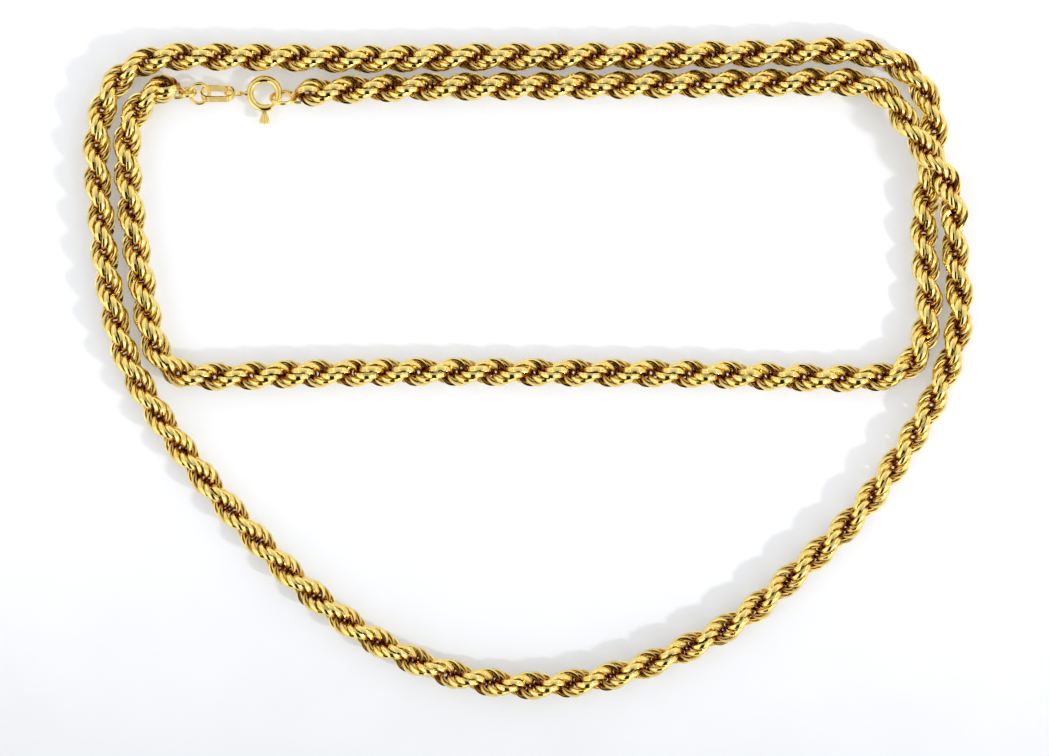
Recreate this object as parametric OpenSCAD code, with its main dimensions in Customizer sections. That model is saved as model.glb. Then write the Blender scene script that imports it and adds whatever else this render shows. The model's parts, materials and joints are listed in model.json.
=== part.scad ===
// Gold rope chain, closed by a spring ring clasp and laid on a surface in two turns.
// Millimetres, +Z up, origin under the middle of the laid chain, on the surface.

/* [Rope] */
// Outside diameter of the rope
rope_d = 4.7; // [3.6:0.1:4.7]
// Sides of the rope's swept section
rope_sides = 12; // [8:4:12]
// Wire of the soldered loop at each end of the rope
loop_wire = 0.5; // [0.4:0.05:0.6]

/* [Jump rings] */
// Outside diameter of the ring in the rope's left end
end_ring_od = 3.2; // [3.1:0.1:3.5]
// Wire of that ring
end_ring_wire = 0.8; // [0.6:0.05:0.85]
// Lean of that ring about its length
end_ring_lean = 60; // [54:1:62]
// Outside diameter of the flat lying jump ring
jump_ring_od = 3.9; // [3.6:0.1:4.2]
// Wire of the flat lying jump ring
jump_ring_wire = 0.6; // [0.5:0.05:0.65]
// Outside diameter of the ring that the clasp hooks
hook_ring_od = 4.7; // [4.5:0.1:4.9]
// Wire of the ring that the clasp hooks
hook_ring_wire = 0.7; // [0.6:0.05:0.75]
// Lean of the ring that the clasp hooks
hook_ring_lean = 57; // [54:1:60]

/* [Tag link] */
// Length of the oval band link
tag_length = 5.7; // [5.2:0.1:6]
// Height of the oval
tag_height = 3.1; // [3.05:0.05:3.2]
// Thickness of its strip
tag_wall = 0.25; // [0.2:0.05:0.3]
// Width of its strip
tag_band = 1.1; // [0.9:0.05:1.15]
// Lean of the band link about its length
tag_lean = 46; // [42:1:47]

/* [Spring ring clasp] */
// Outside diameter of the clasp's ring
clasp_od = 6.1; // [5.8:0.1:6.5]
// Outside diameter of the clasp's tube
clasp_tube = 1.25; // [1.15:0.05:1.3]
// Diameter of the sliding gate
gate_wire = 0.7; // [0.6:0.05:0.75]
// Angle where the tube ends above the gate
gap_start = -26; // [-30:1:-22]
// Angle that the gate opens
gap_angle = 39; // [34:1:44]
// Angle that the gate reaches into the tube past the gap
gate_grip = 4; // [3:1:6]
// Outside diameter of the eye
eye_od = 3.3; // [3.2:0.1:3.6]
// Thickness of the eye's strip
eye_wall = 0.3; // [0.2:0.05:0.3]
// Width of the eye's strip
eye_band = 0.5; // [0.45:0.05:0.55]
// Length of the neck between the tube and the eye
neck_length = 0.45; // [0.35:0.05:0.8]
// Width of the trigger's stem
stem_w = 0.8; // [0.7:0.05:0.9]
// Thickness of the trigger's stem
stem_t = 0.4; // [0.3:0.05:0.45]
// Reach of the trigger's knob past the tube
knob_reach = 2.1; // [1.8:0.1:2.4]
// Thickness of each rib of the knob
knob_rib = 0.68; // [0.6:0.02:0.76]

/* [Fits] */
// Radial running clearance of the gate in its tube
gate_fit = 0.05; // [0.03:0.01:0.08]
// Clearance between a ring's wire and what it hangs in
play = 0.1; // [0.08:0.02:0.14]

/* [Hidden] */
$fn = 48;

// Places of the small pieces, from the rope's right end towards its left one.
rope_start = [-38.5, 45.9];
hook_ring_y = 45.2;
clasp_y = 45.9;
tag_y = 45.9;
jump_ring_y = 45.9;
end_ring_y = 46.1;
rope_finish_y = 46.8;
floor_gap = 0.05;
hook_slack = 0.3;
tag_in_eye = 1.5;
jump_in_tag = 1.5;
end_in_jump = 1.0;
end_ring_drop = 0.05;
straight_tail = 2.1;
clasp_r = (clasp_od - clasp_tube) / 2;
clasp_z = eye_od / 2 + floor_gap;
eye_hole = eye_od - 2 * eye_wall;
hook_ring_x = rope_start[0] - play - hook_ring_od / 2;
hook_ring_z = (hook_ring_od - hook_ring_wire) / 2 * sin(hook_ring_lean) + hook_ring_wire / 2 + floor_gap;
clasp_x = hook_ring_x - hook_ring_od / 2 + hook_ring_wire + hook_slack - clasp_od / 2 + clasp_tube;
eye_x = clasp_x - clasp_od / 2 - neck_length - eye_od / 2;
tag_x = eye_x - eye_hole / 2 + tag_in_eye - tag_length / 2;
jump_ring_x = tag_x - tag_length / 2 + tag_wall + jump_in_tag - jump_ring_od / 2;
end_ring_x = jump_ring_x - jump_ring_od / 2 + jump_ring_wire + end_in_jump - end_ring_od / 2;
end_ring_z = clasp_z - end_ring_drop;
rope_finish = [end_ring_x - end_ring_od / 2 - play, rope_finish_y];

// The rope's route: x, y, and how far it is lifted off the surface, in rope diameters.
ROUTE = [
    [rope_start[0], rope_start[1], 0], [-26, 46.7, 0], [-12, 47, 0], [2, 47.1, 0], [16, 47.3, 0],
    [30, 47.5, 0], [43, 47.7, 0], [52.6, 47.8, 0], [56.8, 47.1, 0.06], [60.2, 45, 0.28],
    [62.2, 41.8, 0.58], [64, 38.8, 0.86], [66, 35.8, 1.05], [68.1, 33, 1.04], [69.8, 30, 0.85],
    [70.8, 26.5, 0.48], [71.1, 22.5, 0.14], [71.4, 17, 0], [72.1, 8.6, 0], [69.1, -2.2, 0],
    [62.6, -14, 0], [54.4, -25, 0], [45.5, -33.5, 0], [36, -41.5, 0], [25.5, -47.2, 0],
    [13, -51.6, 0], [0, -53, 0], [-13, -51, 0], [-25, -45.8, 0], [-36, -37.8, 0],
    [-45.6, -28.3, 0], [-54, -18.5, 0], [-62, -7.5, 0], [-67.5, 3, 0], [-70.2, 15, 0],
    [-71.5, 27, 0], [-72.1, 36.5, 0], [-71.3, 42.3, 0], [-69.3, 47, 0], [-65.8, 50.3, 0],
    [-61.2, 51.8, 0], [-54, 52, 0], [-41, 51.9, 0], [-28, 51.6, 0], [-14, 51.9, 0], [0, 52, 0],
    [14, 52.1, 0], [28, 52.3, 0], [41, 52.6, 0], [51, 53, 0], [57.2, 52.5, 0], [61.6, 50.8, 0],
    [64.9, 47.9, 0], [66.8, 44.5, 0], [67.7, 40.5, 0], [67.7, 36.5, 0], [66.9, 32, 0],
    [66.1, 25, 0], [66.4, 16.5, 0], [66.9, 10.8, 0], [66.3, 6, 0], [64.5, 1.6, 0], [61.3, -0.9, 0],
    [56.5, -1.6, 0], [44, -1.5, 0], [30, -1, 0], [16, -0.8, 0], [2, -0.7, 0], [-12, -0.6, 0],
    [-26, -0.7, 0], [-40, -1, 0], [-52, -1.4, 0], [-57.8, -0.9, 0], [-60.9, 1.2, 0],
    [-62.7, 4.9, 0], [-64.5, 14, 0], [-66.3, 26, 0], [-67, 37.3, 0], [-66.3, 41.2, 0],
    [-64.3, 44.4, 0], [rope_finish[0] - straight_tail, rope_finish[1], 0],
    [rope_finish[0], rope_finish[1], 0]
];
PATH = [for (p = ROUTE) [p[0], p[1], (p[2] + 0.5) * rope_d]];
LAST = len(PATH) - 1;
// The halves meet at this point of the route, counted from its start.
middle_point = 36;

function unit(v) = v / norm(v);
function before(path, i) = unit(path[max(i, 1)] - path[max(i, 1) - 1]);
function after(path, i) = unit(path[min(i, len(path) - 2) + 1] - path[min(i, len(path) - 2)]);
function tangent(path, i) = unit(before(path, i) + after(path, i));
// Keeps a bend as thick as the straights.
function mitre(path, i) = 1 / (before(path, i) * tangent(path, i));
// One section of a swept wire; ref is the direction that stays across the wire.
function section(path, i, r, sides, ref) =
    let (t = tangent(path, i), side = unit(cross(ref, t)), up = cross(t, side))
    [for (k = [0:sides - 1])
        path[i] + r * (cos(360 * k / sides) * mitre(path, i) * side + sin(360 * k / sides) * up)];

// Sweeps a wire along stations a to b of a path, with flat ends.
module swept(path, a, b, r, sides, ref) {
    rings = [for (i = [a:b]) section(path, i, r, sides, ref)];
    points = [for (ring = rings) for (p = ring) p];
    last = b - a;
    walls = [for (i = [0:last - 1]) for (k = [0:sides - 1])
        let (m = (k + 1) % sides, p = i * sides, q = p + sides)
        each [[q + m, p + m, p + k], [q + k, q + m, p + k]]];
    first_cap = [[for (k = [0:sides - 1]) k]];
    last_cap = [[for (k = [sides - 1:-1:0]) last * sides + k]];
    polyhedron(points = points, faces = concat(walls, first_cap, last_cap));
}

// The rope's soldered end loop: a half turn of wire out of the flat end of the rope.
// The wire that hangs in it passes with play on both sides.
module end_loop(x, y, z, out, held_wire, lean) {
    r = held_wire + 2 * play + loop_wire / 2;
    half_width = 0.8 * r;
    buried = 0.6;
    steps = 12;
    loop_sides = 8;
    across = [0, sin(lean), cos(lean)];
    arc = [for (k = [0:steps])
        let (a = 180 * k / steps)
        [x + out * r * sin(a), y, z] + half_width * cos(a) * across];
    start = [[x - out * buried, y, z] + half_width * across];
    finish = [[x - out * buried, y, z] - half_width * across];
    path = concat(start, arc, finish);
    swept(path, 0, len(path) - 1, loop_wire / 2, loop_sides, [0, cos(lean), -sin(lean)]);
}

// A round wire ring that leans about its length.
module wire_ring(od, wire, x, y, z, lean) {
    translate([x, y, z])
        rotate([-lean, 0, 0])
            rotate_extrude()
                translate([(od - wire) / 2, 0])
                    circle(d = wire);
}

module rope_first_half() {
    color("gold") {
        swept(PATH, 0, middle_point, rope_d / 2, rope_sides, [0, 0, 1]);
        end_loop(rope_start[0], hook_ring_y, hook_ring_z, -1, hook_ring_wire, hook_ring_lean);
    }
}

module rope_second_half() {
    color("goldenrod") {
        swept(PATH, middle_point, LAST, rope_d / 2, rope_sides, [0, 0, 1]);
        end_loop(rope_finish[0], end_ring_y, end_ring_z, 1, end_ring_wire, end_ring_lean);
    }
}

module end_ring() {
    color("khaki")
        wire_ring(end_ring_od, end_ring_wire, end_ring_x, end_ring_y, end_ring_z, end_ring_lean);
}

module jump_ring() {
    color("gold")
        wire_ring(jump_ring_od, jump_ring_wire, jump_ring_x, jump_ring_y, clasp_z, 0);
}

module hook_ring() {
    color("khaki")
        wire_ring(hook_ring_od, hook_ring_wire, hook_ring_x, hook_ring_y, hook_ring_z, hook_ring_lean);
}

// A flat oval with round ends.
module oval(length, height) {
    square([length - height, height], center = true);
    for (side = [-1, 1])
        translate([side * (length - height) / 2, 0])
            circle(d = height);
}

module tag_link() {
    color("goldenrod")
        translate([tag_x, tag_y, clasp_z])
            rotate([-tag_lean, 0, 0])
                linear_extrude(height = tag_band, center = true)
                    difference() {
                        oval(tag_length, tag_height);
                        oval(tag_length - 2 * tag_wall, tag_height - 2 * tag_wall);
                    }
}

// Part of a ring of round wire, from one angle over a sweep.
module arc_wire(r, wire, from, sweep) {
    rotate([0, 0, from])
        rotate_extrude(angle = sweep)
            translate([r, 0])
                circle(d = wire);
}

// Angles of the clasp: the trigger at rest, and how far its stem reaches to each side.
trigger_angle = -90;
bore = gate_wire + 2 * gate_fit;
stem_half_angle = asin((stem_w / 2 + play) / (clasp_r + bore / 2));
tube_from = gap_start;
tube_sweep = 360 - gap_angle;
past = 2;

module eye() {
    neck_d = eye_band - 0.05;
    collar_d = 0.95;
    collar_stand = 0.12;
    skin = 0.02;
    collar_x = clasp_r + bore / 2 + skin;
    collar_len = clasp_od / 2 + collar_stand - collar_x;
    translate([eye_x - clasp_x, 0, 0])
        rotate([90, 0, 0])
            difference() {
                cylinder(d = eye_od, h = eye_band, center = true);
                cylinder(d = eye_hole, h = eye_band + 1, center = true);
            }
    translate([-collar_x, 0, 0])
        rotate([0, -90, 0]) {
            cylinder(d = collar_d, h = collar_len);
            cylinder(d = neck_d, h = clasp_od / 2 + neck_length + eye_wall / 2 - collar_x);
        }
}

module clasp_ring() {
    color("gold")
        translate([clasp_x, clasp_y, clasp_z]) {
            difference() {
                arc_wire(clasp_r, clasp_tube, tube_from, tube_sweep);
                arc_wire(clasp_r, bore, tube_from - past, tube_sweep + 2 * past);
                // slot that the trigger's stem runs along
                rotate([0, 0, trigger_angle - stem_half_angle - gap_angle])
                    rotate_extrude(angle = gap_angle + 2 * stem_half_angle)
                        translate([clasp_r, -stem_t / 2 - gate_fit])
                            square([clasp_tube, stem_t + 2 * gate_fit]);
            }
            eye();
        }
}

// A rib of the trigger's knob: a round bar with round ends.
module rib(from, to, d) {
    run = to - from;
    translate([from[0], from[1], 0])
        rotate([0, 0, atan2(run[1], run[0])])
            rotate([0, 90, 0]) {
                cylinder(d = d, h = norm(run));
                sphere(d = d);
                translate([0, 0, norm(run)])
                    sphere(d = d);
            }
}

module clasp_gate() {
    tip = gap_start + gate_grip;
    tail = trigger_angle - gap_angle;
    stem_show = 0.5;
    root_spread = 0.2;
    end_spread = 0.56;
    side_short = 0.12;
    knob_root = clasp_od / 2 + stem_show;
    knob_end = clasp_od / 2 + knob_reach - knob_rib / 2;
    color("khaki")
        translate([clasp_x, clasp_y, clasp_z]) {
            arc_wire(clasp_r, gate_wire, tail, tip - tail);
            rotate([0, 0, trigger_angle]) {
                translate([clasp_r, -stem_w / 2, -stem_t / 2])
                    cube([knob_root - clasp_r, stem_w, stem_t]);
                rib([knob_root, 0], [knob_end, 0], knob_rib);
                for (side = [-1, 1])
                    rib([knob_root, side * root_spread],
                        [knob_end - side_short, side * end_spread], knob_rib);
            }
        }
}

rope_first_half();
rope_second_half();
end_ring();
jump_ring();
tag_link();
clasp_ring();
clasp_gate();
hook_ring();
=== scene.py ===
"""Gold rope chain: its links, its finishes and the studio that it lies in.

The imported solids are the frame. The two halves of the rope are plain tubes there, and are
replaced here by the rope's own links, laid along the same route and twisted at the same
pace. The rings, the tag, the clasp and its trigger keep their solids and get their
finishes. All sizes are in metres.
"""

import json
import logging
import math
from dataclasses import dataclass, field
from enum import Enum
from typing import Any, Mapping, Sequence

import bpy
import numpy as np
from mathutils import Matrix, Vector

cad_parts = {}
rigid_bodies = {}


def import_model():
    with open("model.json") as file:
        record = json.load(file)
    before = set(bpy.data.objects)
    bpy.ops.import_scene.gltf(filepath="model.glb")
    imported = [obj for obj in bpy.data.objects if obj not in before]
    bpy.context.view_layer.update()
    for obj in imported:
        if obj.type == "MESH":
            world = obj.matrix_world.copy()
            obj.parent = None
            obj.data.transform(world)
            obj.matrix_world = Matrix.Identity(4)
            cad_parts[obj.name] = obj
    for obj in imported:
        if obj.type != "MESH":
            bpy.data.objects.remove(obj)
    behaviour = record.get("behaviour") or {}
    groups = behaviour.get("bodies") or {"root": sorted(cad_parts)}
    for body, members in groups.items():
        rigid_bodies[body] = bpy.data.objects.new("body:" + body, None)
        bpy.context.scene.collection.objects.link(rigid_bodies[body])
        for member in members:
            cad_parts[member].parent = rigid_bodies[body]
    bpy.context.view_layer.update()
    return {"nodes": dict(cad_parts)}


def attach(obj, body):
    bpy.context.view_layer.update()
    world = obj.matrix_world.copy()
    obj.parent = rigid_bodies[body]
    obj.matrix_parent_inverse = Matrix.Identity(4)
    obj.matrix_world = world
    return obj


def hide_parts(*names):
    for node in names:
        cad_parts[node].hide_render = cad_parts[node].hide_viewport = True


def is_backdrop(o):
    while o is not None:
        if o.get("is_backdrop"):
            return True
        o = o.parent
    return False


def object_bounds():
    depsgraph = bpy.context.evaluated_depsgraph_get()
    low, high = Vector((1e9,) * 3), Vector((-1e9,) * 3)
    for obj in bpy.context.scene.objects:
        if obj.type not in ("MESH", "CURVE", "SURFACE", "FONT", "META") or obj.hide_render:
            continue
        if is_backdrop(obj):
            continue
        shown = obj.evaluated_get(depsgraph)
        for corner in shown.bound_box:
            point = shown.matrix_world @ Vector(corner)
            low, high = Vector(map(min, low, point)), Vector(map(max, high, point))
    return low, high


LOG = logging.getLogger("rope_chain")
ROPE_WIDTH = 0.0047
# How far from the rope's free ends its links start to crowd together.
END_MARGIN = 0.0027
# Rows of points round the section of a link's wire, and round an end loop's.
LINK_SIDES = 8
LOOP_SIDES = 16

Point = tuple[float, float, float]
Colour = tuple[float, float, float]

# The rope's route, from the clasp's side to the tag's side: x, y, and how far it is
# lifted off the surface, in rope widths.
ROUTE: tuple[Point, ...] = (
    (-0.0385, 0.0459, 0), (-0.026, 0.0467, 0), (-0.012, 0.047, 0), (0.002, 0.0471, 0),
    (0.016, 0.0473, 0), (0.030, 0.0475, 0), (0.043, 0.0477, 0), (0.0526, 0.0478, 0),
    (0.0568, 0.0471, 0.06), (0.0602, 0.045, 0.28), (0.0622, 0.0418, 0.58),
    (0.064, 0.0388, 0.86), (0.066, 0.0358, 1.05), (0.0681, 0.033, 1.04),
    (0.0698, 0.030, 0.85), (0.0708, 0.0265, 0.48), (0.0711, 0.0225, 0.14),
    (0.0714, 0.017, 0), (0.0721, 0.0086, 0), (0.0691, -0.0022, 0), (0.0626, -0.014, 0),
    (0.0544, -0.025, 0), (0.0455, -0.0335, 0), (0.036, -0.0415, 0), (0.0255, -0.0472, 0),
    (0.013, -0.0516, 0), (0, -0.053, 0), (-0.013, -0.051, 0), (-0.025, -0.0458, 0),
    (-0.036, -0.0378, 0), (-0.0456, -0.0283, 0), (-0.054, -0.0185, 0),
    (-0.062, -0.0075, 0), (-0.0675, 0.003, 0), (-0.0702, 0.015, 0), (-0.0715, 0.027, 0),
    (-0.0721, 0.0365, 0), (-0.0713, 0.0423, 0), (-0.0693, 0.047, 0),
    (-0.0658, 0.0503, 0), (-0.0612, 0.0518, 0), (-0.054, 0.052, 0), (-0.041, 0.0519, 0),
    (-0.028, 0.0516, 0), (-0.014, 0.0519, 0), (0, 0.052, 0), (0.014, 0.0521, 0),
    (0.028, 0.0523, 0), (0.041, 0.0526, 0), (0.051, 0.053, 0), (0.0572, 0.0525, 0),
    (0.0616, 0.0508, 0), (0.0649, 0.0479, 0), (0.0668, 0.0445, 0), (0.0677, 0.0405, 0),
    (0.0677, 0.0365, 0), (0.0669, 0.032, 0), (0.0661, 0.025, 0), (0.0664, 0.0165, 0),
    (0.0669, 0.0108, 0), (0.0663, 0.006, 0), (0.0645, 0.0016, 0), (0.0613, -0.0009, 0),
    (0.0565, -0.0016, 0), (0.044, -0.0015, 0), (0.030, -0.001, 0), (0.016, -0.0008, 0),
    (0.002, -0.0007, 0), (-0.012, -0.0006, 0), (-0.026, -0.0007, 0), (-0.040, -0.001, 0),
    (-0.052, -0.0014, 0), (-0.0578, -0.0009, 0), (-0.0609, 0.0012, 0),
    (-0.0627, 0.0049, 0), (-0.0645, 0.014, 0), (-0.0663, 0.026, 0), (-0.067, 0.0373, 0),
    (-0.0663, 0.0412, 0), (-0.0643, 0.0444, 0), (-0.06075, 0.0468, 0),
    (-0.05865, 0.0468, 0),
)
# The point of the route where the two halves meet.
MIDDLE_POINT = 36
# How far along the route, from the clasp's side, some of the rope's bumps have their middles,
# where its two strands lie side by side. The twist is even between them.
BUMP_MIDDLES: tuple[float, ...] = (
    0.0089, 0.0287, 0.048, 0.0668, 0.086, 0.1107, 0.13, 0.1562, 0.1744, 0.2011, 0.235, 0.262,
    0.2883, 0.3088, 0.3277, 0.3506, 0.3745, 0.3917, 0.4178, 0.435, 0.4673, 0.5005, 0.5253,
    0.5422, 0.5538, 0.5645, 0.5767, 0.6087, 0.6476, 0.6533, 0.6582, 0.6646, 0.6697, 0.6753,
    0.6816, 0.6937, 0.7103, 0.7227, 0.7397,
)


class Body(str, Enum):
    """The parts that move as one."""

    CHAIN = "chain"
    GATE = "gate"


class Slot(str, Enum):
    """The finishes that a user of the part can change."""

    ROPE = "rope_gold"
    FITTING = "fitting_gold"
    CLASP = "clasp_gold"


class Lay(Enum):
    """The way that the rope is twisted."""

    RIGHT = 1
    LEFT = -1


class Value:
    """The output of a shader node, ready for arithmetic."""

    def __init__(self, recipe: "Recipe", socket: bpy.types.NodeSocket) -> None:
        """Keeps the socket and the recipe that it belongs to."""
        self.recipe = recipe
        self.socket = socket

    def _math(self, operation: str, first: Any, second: Any) -> "Value":
        """Adds one Math node."""
        return self.recipe.node("ShaderNodeMath", {"operation": operation}, {0: first, 1: second})

    def __add__(self, other: Any) -> "Value":
        """Adds."""
        return self._math("ADD", self, other)

    __radd__ = __add__

    def __sub__(self, other: Any) -> "Value":
        """Takes the other away."""
        return self._math("SUBTRACT", self, other)

    def __rsub__(self, other: Any) -> "Value":
        """Takes this away from the other."""
        return self._math("SUBTRACT", other, self)

    def __mul__(self, other: Any) -> "Value":
        """Multiplies."""
        return self._math("MULTIPLY", self, other)

    __rmul__ = __mul__

    def clamped(self, low: float, high: float) -> "Value":
        """Spreads the span from low to high over 0 to 1, and stops there."""
        return self.recipe.node(
            "ShaderNodeMapRange",
            {"clamp": True},
            {"Value": self, "From Min": low, "From Max": high},
        )


class Recipe:
    """The nodes of one material or world, made in code."""

    def __init__(self, tree: bpy.types.NodeTree) -> None:
        """Empties the tree."""
        self.tree = tree
        tree.nodes.clear()

    def node(
        self,
        kind: str,
        settings: Mapping[str, Any] | None = None,
        inputs: Mapping[str | int, Any] | None = None,
        output: str | int = 0,
    ) -> Value:
        """Adds one node.

        Args:
            kind: The node's type.
            settings: The node's own settings, set first.
            inputs: A number, colour or Value for each socket, by name or place.
            output: The output to hand back, by name or place.

        Returns:
            That output.
        """
        made = self.tree.nodes.new(kind)
        for name, setting in (settings or {}).items():
            setattr(made, name, setting)
        for name, given in (inputs or {}).items():
            if isinstance(given, Value):
                self.tree.links.new(given.socket, made.inputs[name])
            else:
                made.inputs[name].default_value = given
        return Value(self, made.outputs[output] if made.outputs else None)

    def mixed(self, share: Any, first: Any, second: Any) -> Value:
        """Mixes two colours.

        Args:
            share: How much of the second there is, from 0 to 1.
            first: A colour or Value.
            second: A colour or Value.

        Returns:
            The mixed colour.
        """
        first, second = (
            (*c, 1.0) if isinstance(c, tuple) and len(c) == 3 else c for c in (first, second)
        )
        return self.node(
            "ShaderNodeMix", {"data_type": "RGBA"}, {0: share, 6: first, 7: second}, 2
        )

    def place(self) -> Value:
        """The place on the object, in metres."""
        return self.node("ShaderNodeTexCoord", output="Object")

    def clouds(self, scale: float, detail: float = 2.0, stretch: Point = (1, 1, 1)) -> Value:
        """Soft noise over the object.

        Args:
            scale: How many clouds there are in a metre.
            detail: How much finer noise is in it.
            stretch: How much denser it is along each axis.

        Returns:
            A value from 0 to 1.
        """
        spot = self.node(
            "ShaderNodeVectorMath", {"operation": "MULTIPLY"}, {0: self.place(), 1: stretch}
        )
        return self.node(
            "ShaderNodeTexNoise",
            {"noise_dimensions": "3D"},
            {"Vector": spot, "Scale": scale, "Detail": detail, "Roughness": 0.55},
            "Fac",
        )


@dataclass(frozen=True)
class Gold:
    """Polished gold. On the rope its colour carries painted shade, redder and darker in its
    recesses, which are also duller where fingers and cloths don't reach; on the fittings its tone
    varies in random patches.

    Attributes:
        name: The material's name.
        bright: Its own colour, where no painted shade and no darker patch lies.
        shade_and_patch_colour: On the rope, the painted shade colour of its recesses; on the
            fittings, the colour of their darker random patches.
        polish: Roughness where fingers and cloths keep it polished.
        dull: Roughness in its recesses.
        clouds: How many patches of wear there are in a metre.
        hairlines: Depth of its fine scratches.
        linked: Whether it is the rope's, whose links know how far out each spot lies.
        lit_and_polished_span: How far out on a link the painted shade starts to fade and the
            rubbing to begin, and where the painted shade is gone and the rubbing is full.
        hairs: How many fine scratches there are in a metre.
        grain: How much the scratches add to the roughness.
    """

    name: str
    bright: Colour
    shade_and_patch_colour: Colour
    polish: float
    dull: float
    clouds: float = 900.0
    hairlines: float = 0.000002
    linked: bool = False
    lit_and_polished_span: tuple[float, float] = (0.3, 0.72)
    hairs: float = 9000.0
    grain: float = 0.04

    def make(self) -> bpy.types.Material:
        """Makes the material.

        Returns:
            The material.
        """
        material = bpy.data.materials.new(self.name)
        material.use_nodes = True
        recipe = Recipe(material.node_tree)
        patches = recipe.clouds(self.clouds, 3.0).clamped(0.35, 0.65)
        # Painted shade: on the rope, a spot's colour darkens towards its recess colour the
        # further in it lies on its link, while its roughness grows with less rubbing.
        if self.linked:
            out = recipe.node(
                "ShaderNodeAttribute", {"attribute_name": "outward"}, output="Fac"
            )
            lit_and_polished = out.clamped(*self.lit_and_polished_span) * (0.85 + 0.15 * patches)
        else:
            lit_and_polished = 0.7 + 0.3 * patches
        hairs = recipe.clouds(self.hairs, 4.0, (1.0, 4.0, 1.0))
        normal = recipe.node(
            "ShaderNodeBump", None, {"Strength": 0.5, "Distance": self.hairlines, "Height": hairs}
        )
        shader = recipe.node(
            "ShaderNodeBsdfPrincipled",
            None,
            {
                "Base Color": recipe.mixed(lit_and_polished, self.shade_and_patch_colour, self.bright),
                "Metallic": 1.0,
                "Roughness": (
                    self.dull + (self.polish - self.dull) * lit_and_polished + self.grain * hairs
                ),
                "Normal": normal,
            },
        )
        recipe.node("ShaderNodeOutputMaterial", None, {"Surface": shader})
        return material


@dataclass(frozen=True)
class PaleCard:
    """The matt pale card that the chain lies on, with painted shade darkening it towards its near
    edge.

    Attributes:
        name: The material's name.
        light: Its colour.
        shade: Its painted shade colour, darker, along its near edge.
        glow: How much light shines through it from below.
        shaded_span: How far to the near side the painted shade starts, and where it is full.
        grain: How many clouds of its grain there are in a metre.
    """

    name: str = "pale_card"
    light: Colour = (0.725, 0.745, 0.785)
    shade: Colour = (0.50, 0.513, 0.54)
    glow: float = 0.275
    shaded_span: tuple[float, float] = (0.015, 0.075)
    grain: float = 60.0

    def make(self) -> bpy.types.Material:
        """Makes the material.

        Returns:
            The material.
        """
        material = bpy.data.materials.new(self.name)
        material.use_nodes = True
        recipe = Recipe(material.node_tree)
        grain = recipe.clouds(self.grain, 3.0).clamped(0.3, 0.7)
        y = recipe.node("ShaderNodeSeparateXYZ", None, {"Vector": recipe.place()}, "Y")
        # Painted shade: the card darkens towards its near edge, with a little of its own grain
        # mixed in.
        card_shade_and_grain = (0.0 - y).clamped(*self.shaded_span) * 0.9 + 0.1 * grain
        shader = recipe.node(
            "ShaderNodeBsdfPrincipled",
            None,
            {
                "Base Color": recipe.mixed(card_shade_and_grain, self.light, self.shade),
                "Roughness": 0.6 + 0.1 * grain,
                "Specular IOR Level": 0.2,
                "Emission Color": (1.0, 1.0, 1.0, 1.0),
                "Emission Strength": self.glow,
            },
        )
        recipe.node("ShaderNodeOutputMaterial", None, {"Surface": shader})
        return material


@dataclass
class Mesher:
    """Gathers points and four-sided faces, and makes one smooth mesh object of them."""

    points: list[np.ndarray] = field(default_factory=list)
    faces: list[np.ndarray] = field(default_factory=list)
    outward: list[np.ndarray] = field(default_factory=list)
    count: int = 0

    def add(self, points: np.ndarray, faces: np.ndarray, outward: np.ndarray) -> None:
        """Adds a form.

        Args:
            points: Its points.
            faces: Its faces, as rows of four places in points.
            outward: How far out each point lies, from 0 to 1.
        """
        self.points.append(points)
        self.faces.append(faces + self.count)
        self.outward.append(outward)
        self.count += len(points)

    def build(self, name: str, material: bpy.types.Material, crease: float) -> bpy.types.Object:
        """Makes the object.

        Args:
            name: Its name.
            material: Its finish.
            crease: Edges sharper than this angle, in degrees, stay sharp.

        Returns:
            The object.
        """
        points = np.concatenate(self.points)
        faces = np.concatenate(self.faces)
        mesh = bpy.data.meshes.new(name)
        mesh.vertices.add(len(points))
        mesh.vertices.foreach_set("co", points.astype(np.float32).ravel())
        mesh.loops.add(faces.size)
        mesh.loops.foreach_set("vertex_index", faces.astype(np.int32).ravel())
        mesh.polygons.add(len(faces))
        mesh.polygons.foreach_set("loop_start", np.arange(0, faces.size, 4, dtype=np.int32))
        mesh.update(calc_edges=True)
        mesh.validate()
        mesh.polygons.foreach_set("use_smooth", np.ones(len(faces), dtype=bool))
        mesh.set_sharp_from_angle(angle=math.radians(crease))
        spread = mesh.attributes.new("outward", "FLOAT", "POINT")
        spread.data.foreach_set("value", np.concatenate(self.outward).astype(np.float32))
        mesh.materials.append(material)
        made = bpy.data.objects.new(name, mesh)
        bpy.context.scene.collection.objects.link(made)
        return made


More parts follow.
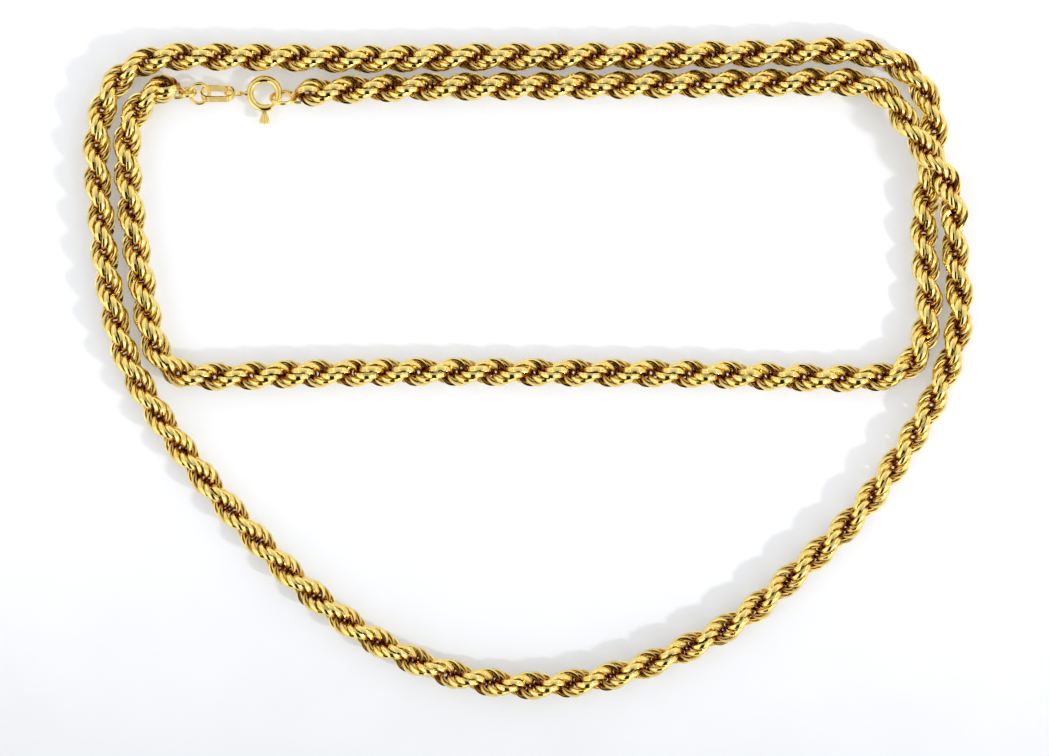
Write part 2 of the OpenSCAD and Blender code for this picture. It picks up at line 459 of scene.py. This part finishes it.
@dataclass
class Route:
    """The smooth line that the middle of the rope follows.

    Attributes:
        points: The route's points.
        rope_width: Width of the rope.
        bump_length: Usual length of half a twist, which is one bump of the rope.
        bumps: How far along some bumps' middles lie.
        beyond: How many bumps the twist is known for past the first and the last of them.
        fine: How many steps each span is cut into.
    """

    points: Sequence[Point]
    rope_width: float = ROPE_WIDTH
    bump_length: float = 0.00643
    bumps: Sequence[float] = BUMP_MIDDLES
    beyond: int = 100
    fine: int = 24

    def __post_init__(self) -> None:
        """Works out the line, its length and its twist."""
        knots = np.array(self.points, float)
        knots[:, 2] = (knots[:, 2] + 0.5) * self.rope_width
        self.line = self._smoothed(knots)
        steps = np.linalg.norm(np.diff(self.line, axis=0), axis=1)
        self.distance = np.concatenate([[0.0], np.cumsum(steps)])
        self.length = float(self.distance[-1])
        tangents = np.gradient(self.line, self.distance, axis=0)
        self.tangents = tangents / np.linalg.norm(tangents, axis=1)[:, None]
        self.half_twists = self._twisted()

    def _smoothed(self, knots: np.ndarray) -> np.ndarray:
        """Runs a smooth line through the knots.

        Args:
            knots: The route's points.

        Returns:
            The points of the fine line.
        """
        ends = np.array([2 * knots[0] - knots[1], *knots, 2 * knots[-1] - knots[-2]])
        out = []
        for a, b, c, d in zip(ends[:-3], ends[1:-2], ends[2:-1], ends[3:]):
            ta, tb, tc = (math.sqrt(np.linalg.norm(v)) for v in (b - a, c - b, d - c))
            slope_b = (c - b) / tb + (b - a) / ta - (c - a) / (ta + tb)
            slope_c = (d - c) / tc + (c - b) / tb - (d - b) / (tb + tc)
            t = np.linspace(0, 1, self.fine, endpoint=False)[:, None]
            start, end = slope_b * tb, slope_c * tb
            out.append(
                b + start * t
                + (3 * (c - b) - 2 * start - end) * t**2
                + (2 * (b - c) + start + end) * t**3
            )
        out.append(knots[-1:])
        return np.concatenate(out)

    def _twisted(self) -> np.ndarray:
        """Counts the half twists along the line, whole at each known bump.

        Returns:
            The count at each point of the fine line.
        """
        marks = self.bumps
        counts = [0.0]
        for near, far in zip(marks[:-1], marks[1:]):
            counts.append(counts[-1] + round((far - near) / self.bump_length))
        reach = self.beyond * self.bump_length
        places = [marks[0] - reach, *marks, marks[-1] + reach]
        counts = [counts[0] - self.beyond, *counts, counts[-1] + self.beyond]
        return np.interp(self.distance, places, counts)

    def distance_at(self, point: int) -> float:
        """How far along the line a point of the route lies."""
        return float(self.distance[point * self.fine])

    def twists_at(self, distance: np.ndarray) -> np.ndarray:
        """Counts the half twists up to some distances along the line."""
        return np.interp(distance, self.distance, self.half_twists)

    def distance_of(self, half_twists: np.ndarray) -> np.ndarray:
        """Finds how far along some counts of half twists lie, also past the line's ends.

        Args:
            half_twists: The counts.

        Returns:
            Their distances along the line.
        """
        inside = np.clip(half_twists, self.half_twists[0], self.half_twists[-1])
        past = (half_twists - inside) * self.bump_length
        return np.interp(inside, self.half_twists, self.distance) + past

    def frames(self, distance: np.ndarray) -> tuple[np.ndarray, ...]:
        """Finds places along the line.

        Args:
            distance: How far along each place lies.

        Returns:
            The places, and their directions along, to the side and up.
        """
        place, along = (
            np.stack([np.interp(distance, self.distance, v[:, i]) for i in range(3)], axis=1)
            for v in (self.line, self.tangents)
        )
        along /= np.linalg.norm(along, axis=1)[:, None]
        side = np.cross([0.0, 0.0, 1.0], along)
        side /= np.linalg.norm(side, axis=1)[:, None]
        return place, along, side, np.cross(along, side)


@dataclass(frozen=True)
class Link:
    """One oval ring of the rope, flat outside and slimmer where it passes inside.

    Attributes:
        reach: Half its length from the rope's middle outwards.
        half_width: Half its length along the rope.
        wire: Thickness of its wire across the ring's outline.
        band: Width of its wire outside, across the ring's plane.
        inner_band: Width of its wire inside.
        narrowing: How early the band narrows.
        flat: Share of the band that is flat.
        steps: How many steps its outline has.
    """

    reach: float = 0.00189
    half_width: float = 0.00205
    wire: float = 0.00043
    band: float = 0.00086
    inner_band: float = 0.0007
    narrowing: float = 0.8
    flat: float = 0.45
    steps: int = 32

    def shape(self) -> tuple[np.ndarray, np.ndarray]:
        """Makes the ring on its own.

        Returns:
            Its points, as outwards, along and across, and its faces.
        """
        turn = np.linspace(0, 2 * np.pi, self.steps, endpoint=False)
        outer = ((1 + np.cos(turn)) / 2) ** self.narrowing
        band = self.inner_band + (self.band - self.inner_band) * outer
        normal = np.stack([np.cos(turn) / self.reach, np.sin(turn) / self.half_width], axis=1)
        normal /= np.linalg.norm(normal, axis=1)[:, None]
        middle = np.stack([self.reach * np.cos(turn), self.half_width * np.sin(turn)], axis=1)
        outwards = np.array([1, 1, 0.5, -0.5, -1, -1, -0.5, 0.5]) * self.wire / 2
        across = np.array([-self.flat, self.flat, 1, 1, self.flat, -self.flat, -1, -1]) / 2
        flat = middle[:, None, :] + outwards[None, :, None] * normal[:, None, :]
        points = np.concatenate([flat, (across[None, :] * band[:, None])[:, :, None]], axis=2)
        i, j = np.meshgrid(np.arange(self.steps), np.arange(LINK_SIDES), indexing="ij")
        here, there = i * LINK_SIDES, (i + 1) % self.steps * LINK_SIDES
        after = (j + 1) % LINK_SIDES
        faces = np.stack([here + j, there + j, there + after, here + after], axis=2)
        return points.reshape(-1, 3), faces.reshape(-1, 4)


@dataclass
class RopeHalf:
    """The links of one half of the rope.

    Attributes:
        node: The solid that they replace.
        route: The line that they follow.
        start: Where along the line they start.
        end: Where along the line they end.
        pieces: How many pieces they are made in.
        margins: How far from each end the links start to crowd together.
        crowding: How much of their spacing is left there.
        extra: How many more links of each strand are crowded in there.
        link: The link's own form.
        lay: The way that the rope is twisted.
        links_a_twist: Links of one strand in a whole twist.
        phase: Where the first link past a bump's middle lies, in links.
        stagger: How far one strand's links lie past the other's, in links.
        lean: How far each link's band leans off the rope's length, in degrees.
        outer: How far the links reach from the rope's middle.
        unevenness: How far links stray from their places, in degrees.
        crease: Edges sharper than this, in degrees, stay sharp.
        seed: Start of the random numbers.
    """

    node: str
    route: Route
    start: float
    end: float
    pieces: int
    margins: tuple[float, float]
    crowding: float = 0.32
    extra: float = 1.0
    link: Link = Link()
    lay: Lay = Lay.LEFT
    links_a_twist: float = 12.0
    phase: float = 0.5
    stagger: float = 0.0
    lean: float = -1.0
    outer: float = 0.0024
    unevenness: float = 2.0
    crease: float = 30.0
    seed: int = 7

    def build(self, material: bpy.types.Material) -> list[bpy.types.Object]:
        """Builds the half.

        Args:
            material: The rope's finish.

        Returns:
            Its pieces.
        """
        rng = np.random.default_rng(self.seed)
        a_bump = self.links_a_twist / 2
        first, last = self.route.twists_at(np.array([self.start, self.end])) * a_bump - self.phase
        if self.margins[0] > 0:
            first -= self.extra
        if self.margins[1] > 0:
            last += self.extra
        numbers = np.arange(math.ceil(first), math.floor(last) + 1) + self.phase
        local, faces = self.link.shape()
        made = []
        for number, part in enumerate(np.array_split(numbers, self.pieces), start=1):
            mesher = Mesher()
            for strand in (0, 1):
                self._lay_links(mesher, part, strand, local, faces, rng)
            name = f"{self.node.removesuffix('_half')}_links_{number}"
            piece = mesher.build(name, material, self.crease)
            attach(piece, Body.CHAIN.value)
            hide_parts(self.node)
            made.append(piece)
        return made

    def _lay_links(
        self,
        mesher: Mesher,
        numbers: np.ndarray,
        strand: int,
        local: np.ndarray,
        faces: np.ndarray,
        rng: np.random.Generator,
    ) -> None:
        """Lays one strand's links.

        Args:
            mesher: What gathers them.
            numbers: The links' places, counted in links from the first known bump.
            strand: The strand, 0 or 1.
            local: The link's own points.
            faces: The link's faces.
            rng: The random numbers.
        """
        hand = self.lay.value
        half_twists = (numbers + strand * self.stagger) * 2 / self.links_a_twist
        distance = self.route.distance_of(half_twists)
        held = np.clip(distance, self.start + self.margins[0], self.end - self.margins[1])
        place, along, side, up = self.route.frames(held + self.crowding * (distance - held))
        stray = np.radians(rng.normal(0, self.unevenness, (2, len(numbers))))
        turned = hand * np.pi * half_twists + np.pi * strand + stray[0]
        out = np.cos(turned)[:, None] * side + np.sin(turned)[:, None] * up
        round_ = np.cross(along, out) * hand
        lean = math.radians(self.lean) + stray[1]
        length = np.cos(lean)[:, None] * along + np.sin(lean)[:, None] * round_
        across = np.cross(out, length)
        offset = self.outer - self.link.reach - self.link.wire / 2
        lift = np.array([0.0, 0.0, self.outer - self.route.rope_width / 2])
        middle = place + lift + offset * out
        points = (
            middle[:, None, :]
            + local[None, :, 0:1] * out[:, None, :]
            + local[None, :, 1:2] * length[:, None, :]
            + local[None, :, 2:3] * across[:, None, :]
        )
        away = points - (place + lift)[:, None, :]
        away -= np.einsum("lpc,lc->lp", away, along)[:, :, None] * along[:, None, :]
        outward = np.linalg.norm(away, axis=2) / self.outer
        all_faces = faces[None] + (np.arange(len(numbers)) * len(local))[:, None, None]
        mesher.add(points.reshape(-1, 3), all_faces.reshape(-1, 4), outward.ravel())


@dataclass(frozen=True)
class EndLoop:
    """The soldered half turn of wire at an end of the rope.

    Attributes:
        name: Its name.
        node: The solid that it stands in.
        middle: Middle of its half circle.
        direction: 1 where it bulges to the right, -1 to the left.
        radius: How far it bulges.
        lean: How far it leans off upright, in degrees.
        squash: Share of that which half its width is.
        wire: Thickness of its wire.
        buried: How far its ends run on into the rope.
        steps: How many points its half circle has.
        outward: How far out it counts as lying, which leaves it free of its finish's painted
            shade.
        crease: Edges sharper than this, in degrees, stay sharp.
    """

    name: str
    node: str
    middle: Point
    direction: int
    radius: float
    lean: float
    squash: float = 0.8
    wire: float = 0.0005
    buried: float = 0.0005
    steps: int = 37
    outward: float = 0.9
    crease: float = 40.0

    def build(self, material: bpy.types.Material) -> bpy.types.Object:
        """Builds the loop.

        Args:
            material: The rope's finish.

        Returns:
            The loop.
        """
        lean = math.radians(self.lean)
        along = np.array([self.direction, 0.0, 0.0])
        across = self.squash * np.array([0.0, math.sin(lean), math.cos(lean)])
        binormal = np.cross(along, across) / self.squash
        turn = np.linspace(0, np.pi, self.steps)
        arc = self.radius * (np.outer(np.sin(turn), along) + np.outer(np.cos(turn), across))
        tails = [s * self.radius * across - self.buried * along for s in (1, -1)]
        path = np.array(self.middle) + np.concatenate([[tails[0]], arc, [tails[1]]])
        tangents = np.gradient(path, axis=0)
        tangents /= np.linalg.norm(tangents, axis=1)[:, None]
        sides = np.cross(binormal, tangents)
        round_ = np.linspace(0, 2 * np.pi, LOOP_SIDES, endpoint=False)
        ring = np.cos(round_)[None, :, None] * sides[:, None, :] + (
            np.sin(round_)[None, :, None] * binormal[None, None, :]
        )
        points = path[:, None, :] + ring * self.wire / 2
        i, j = np.meshgrid(np.arange(len(path) - 1), np.arange(LOOP_SIDES), indexing="ij")
        here, there, after = i * LOOP_SIDES, (i + 1) * LOOP_SIDES, (j + 1) % LOOP_SIDES
        faces = np.stack([here + j, here + after, there + after, there + j], axis=2)
        k = np.arange(LOOP_SIDES // 2 - 1)
        cap = np.stack([k, k + 1, LOOP_SIDES - 2 - k, LOOP_SIDES - 1 - k], axis=1)
        caps = [cap[:, ::-1], cap + (len(path) - 1) * LOOP_SIDES]
        faces = np.concatenate([faces.reshape(-1, 4), *caps])
        mesher = Mesher()
        outward = np.full(len(path) * LOOP_SIDES, self.outward)
        mesher.add(points.reshape(-1, 3), faces, outward)
        piece = mesher.build(self.name, material, self.crease)
        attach(piece, Body.CHAIN.value)
        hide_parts(self.node)
        return piece


@dataclass
class Fittings:
    """The rings, the tag, the clasp and its trigger, which keep their solids.

    Attributes:
        fitting: Finish of the rings and the tag.
        clasp: Finish of the clasp and its trigger.
        crease: Edges sharper than this, in degrees, stay sharp.
    """

    fitting: Gold
    clasp: Gold
    crease: float = 32.0

    def dress(self, nodes: Mapping[str, bpy.types.Object]) -> list[str]:
        """Gives each solid its finish.

        Args:
            nodes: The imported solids.

        Returns:
            The names of those that are dressed.
        """
        fitting, clasp = self.fitting.make(), self.clasp.make()
        finishes = {
            "end_ring": fitting,
            "jump_ring": fitting,
            "tag_link": fitting,
            "hook_ring": fitting,
            "clasp_ring": clasp,
            "clasp_gate": clasp,
        }
        for name, finish in finishes.items():
            solid = nodes[name]
            solid.data.materials.clear()
            solid.data.materials.append(finish)
            solid.data.polygons.foreach_set(
                "use_smooth", np.ones(len(solid.data.polygons), dtype=bool)
            )
            solid.data.set_sharp_from_angle(angle=math.radians(self.crease))
        return list(finishes)


@dataclass(frozen=True)
class SoftBox:
    """A soft light.

    Attributes:
        name: Its name.
        place: Where it hangs.
        size: Its width and height.
        power: Its power in watts.
        colour: Its colour.
    """

    name: str
    place: Point
    size: tuple[float, float]
    power: float
    colour: Colour = (1.0, 1.0, 1.0)

    def build(self) -> bpy.types.Object:
        """Hangs the light, aimed at the chain.

        Returns:
            The light.
        """
        lamp = bpy.data.lights.new(self.name, "AREA")
        lamp.shape = "RECTANGLE"
        lamp.size, lamp.size_y = self.size
        lamp.energy = self.power
        lamp.color = self.colour
        made = bpy.data.objects.new(self.name, lamp)
        made.location = self.place
        made.rotation_euler = (-Vector(self.place)).to_track_quat("-Z", "Y").to_euler()
        bpy.context.scene.collection.objects.link(made)
        return made


@dataclass
class Studio:
    """The pale card, the key light, the white tent and the dark figure on its near side.

    Attributes:
        room: Brightness of the tent.
        low: Share of it that the tent has under the level of the card.
        high: Share of it that the tent's walls have.
        ceiling: Share of it that the tent has overhead.
        far_side: How much brighter it is on its far side.
        windows: How much brighter it is to both sides of the figure.
        panels: How much brighter the light panels on its left and right are.
        lens: How much of the tent's light is missing where the camera hangs.
        figure: Colour of the figure that stands on its near side.
        figure_half_width: How far the figure reaches to each side.
        lights: The soft lights.
        floor_size: Width of the card.
    """

    room: float = 0.86
    low: float = 0.62
    high: float = 1.14
    ceiling: float = 0.86
    far_side: float = 0.15
    windows: float = 0.6
    panels: float = 0.8
    lens: float = 0.25
    figure: Colour = (0.02, 0.018, 0.018)
    figure_half_width: float = 0.28
    lights: Sequence[SoftBox] = (
        SoftBox("key_light", (0.59, -0.33, 0.44), (0.055, 0.055), 2.6),
    )
    floor_size: float = 3.0

    def build(self) -> None:
        """Sets up the studio."""
        self._floor()
        self._world()
        for light in self.lights:
            light.build()
        bpy.context.scene.view_settings.view_transform = "Standard"

    def _floor(self) -> None:
        """Lays the card."""
        half = self.floor_size / 2
        mesh = bpy.data.meshes.new("pale_card")
        corners = [(-half, -half, 0), (half, -half, 0), (half, half, 0), (-half, half, 0)]
        mesh.from_pydata(corners, [], [(0, 1, 2, 3)])
        mesh.materials.append(PaleCard().make())
        floor = bpy.data.objects.new("pale_card", mesh)
        bpy.context.scene.collection.objects.link(floor)
        floor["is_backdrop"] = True

    def _world(self) -> None:
        """Makes the white tent, dark where the photographer stands on the near side."""
        world = bpy.data.worlds.new("white_tent")
        bpy.context.scene.world = world
        world.use_nodes = True
        recipe = Recipe(world.node_tree)
        way = recipe.node("ShaderNodeTexCoord", output="Generated")
        x, y, z = (
            recipe.node("ShaderNodeSeparateXYZ", None, {"Vector": way}, axis) for axis in "XYZ"
        )
        near, sideways = 0.0 - y, x * x
        half, soft = self.figure_half_width, 0.02
        beside = sideways.clamped((half - soft) ** 2, (half + soft) ** 2)
        figure = (1.0 - beside) * near.clamped(0.17, 0.23) * z.clamped(0.12, 0.2)
        # The tent grows brighter from the card's level up its walls, and dimmer overhead.
        tent = self.low + (self.high - self.low) * z.clamped(-0.1, 0.1) + self.far_side * y
        tent = tent - (self.high - self.ceiling) * z.clamped(0.35, 0.9)
        tent = tent + self.windows * beside * near.clamped(0.12, 0.3)
        panels = sideways.clamped(0.28, 0.31) * (1.0 - sideways.clamped(0.4, 0.43))
        tent = tent + self.panels * panels * z.clamped(0.2, 0.3)
        # The camera's own dark lens, straight overhead.
        tent = tent * (1.0 - self.lens * z.clamped(0.972, 0.98))
        light = recipe.node(
            "ShaderNodeCombineColor", None, {"Red": tent, "Green": tent, "Blue": tent}
        )
        seen = recipe.mixed(figure, light, self.figure)
        back = recipe.node(
            "ShaderNodeBackground", None, {"Color": seen, "Strength": self.room}
        )
        recipe.node("ShaderNodeOutputWorld", None, {"Surface": back})


@dataclass(frozen=True)
class TopCamera:
    """The camera, which looks straight down.

    Attributes:
        middle: The spot on the card in the middle of the picture.
        picture_width: Width of card in the picture.
        height: How high it hangs over the rope.
    """

    middle: tuple[float, float] = (-0.00063, -0.00164)
    picture_width: float = 0.1752
    height: float = 0.6

    def build(self) -> bpy.types.Object:
        """Hangs the camera.

        Returns:
            The camera.
        """
        lens = bpy.data.cameras.new("top_camera")
        lens.sensor_width = 36.0
        lens.lens = lens.sensor_width * self.height / self.picture_width
        made = bpy.data.objects.new("top_camera", lens)
        made.location = (*self.middle, self.height + ROPE_WIDTH / 2)
        bpy.context.scene.collection.objects.link(made)
        bpy.context.scene.camera = made
        return made


# The rope's second colour, dark red-brown, is painted shade for its recesses.
ROPE_FINISH = Gold(
    "rope_gold", (0.945, 0.75, 0.25), (0.42, 0.145, 0.003), 0.08, 0.18, linked=True
)
FITTING_FINISH = Gold("fitting_gold", (0.94, 0.725, 0.25), (0.84, 0.59, 0.16), 0.09, 0.17)
CLASP_FINISH = Gold("clasp_gold", (0.94, 0.73, 0.25), (0.84, 0.60, 0.17), 0.07, 0.15)

END_LOOPS = (
    EndLoop("clasp_side_loop", "rope_first_half", (-0.0385, 0.0452, 0.00208), -1, 0.00115, 57.0),
    EndLoop("tag_side_loop", "rope_second_half", (-0.05865, 0.0461, 0.00165), 1, 0.00125, 60.0),
)


def clear_start_objects() -> None:
    """Takes away whatever the file started with."""
    for thing in list(bpy.data.objects):
        bpy.data.objects.remove(thing)


def corners() -> list[list[float]]:
    """The shown object's lowest and highest corner, as plain lists."""
    return [list(corner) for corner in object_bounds()]


def main() -> None:
    """Builds the scene, piece by piece."""
    logging.basicConfig(level=logging.INFO, format="%(message)s")
    clear_start_objects()
    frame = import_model()
    TopCamera().build()
    LOG.info("camera hung")

    route = Route(ROUTE)
    LOG.info("route is %.1f mm long", route.length * 1000)
    rope_gold = ROPE_FINISH.make()
    middle = route.distance_at(MIDDLE_POINT)
    halves = (
        RopeHalf("rope_first_half", route, 0.0, middle, 3, (END_MARGIN, 0.0)),
        RopeHalf(
            "rope_second_half", route, middle, route.length, 3, (0.0, END_MARGIN), seed=8
        ),
    )
    for half in halves:
        for piece in half.build(rope_gold):
            LOG.info("%s has %d faces", piece.name, len(piece.data.polygons))
    for loop in END_LOOPS:
        LOG.info("%s made", loop.build(rope_gold).name)

    for name in Fittings(FITTING_FINISH, CLASP_FINISH).dress(frame["nodes"]):
        LOG.info("%s dressed", name)

    Studio().build()
    LOG.info("studio lit")


if __name__ == "__main__":
    main()
